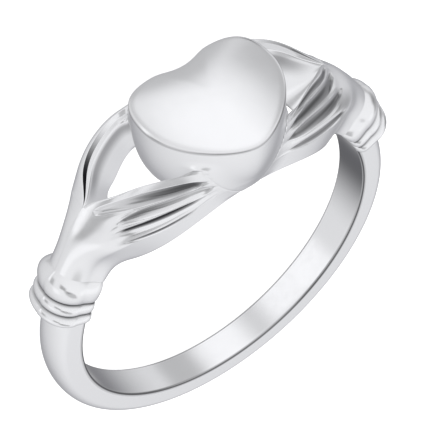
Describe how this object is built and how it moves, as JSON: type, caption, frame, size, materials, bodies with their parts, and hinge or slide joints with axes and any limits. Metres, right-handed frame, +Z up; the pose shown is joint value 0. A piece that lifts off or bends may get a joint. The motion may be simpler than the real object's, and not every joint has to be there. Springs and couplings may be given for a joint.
{
  "type": "claddagh ring",
  "caption": "Cast silver claddagh finger ring: cuffed hands hold a raised heart with a bare, gently domed face, on a slim rounded band.",
  "frame": {"origin": "centre of the bottom of the ring's box, as it lies on its side", "axes": "+Z up from the table, +Y from the bottom of the band towards the heart, +X towards the hand on the right as seen from the heart's point"},
  "size_m": [0.0206, 0.0232, 0.0072],
  "materials": {
    "silver": "polished silver"
  },
  "bodies": {
    "root": {"ring": "silver"}
  },
  "joints": []
}
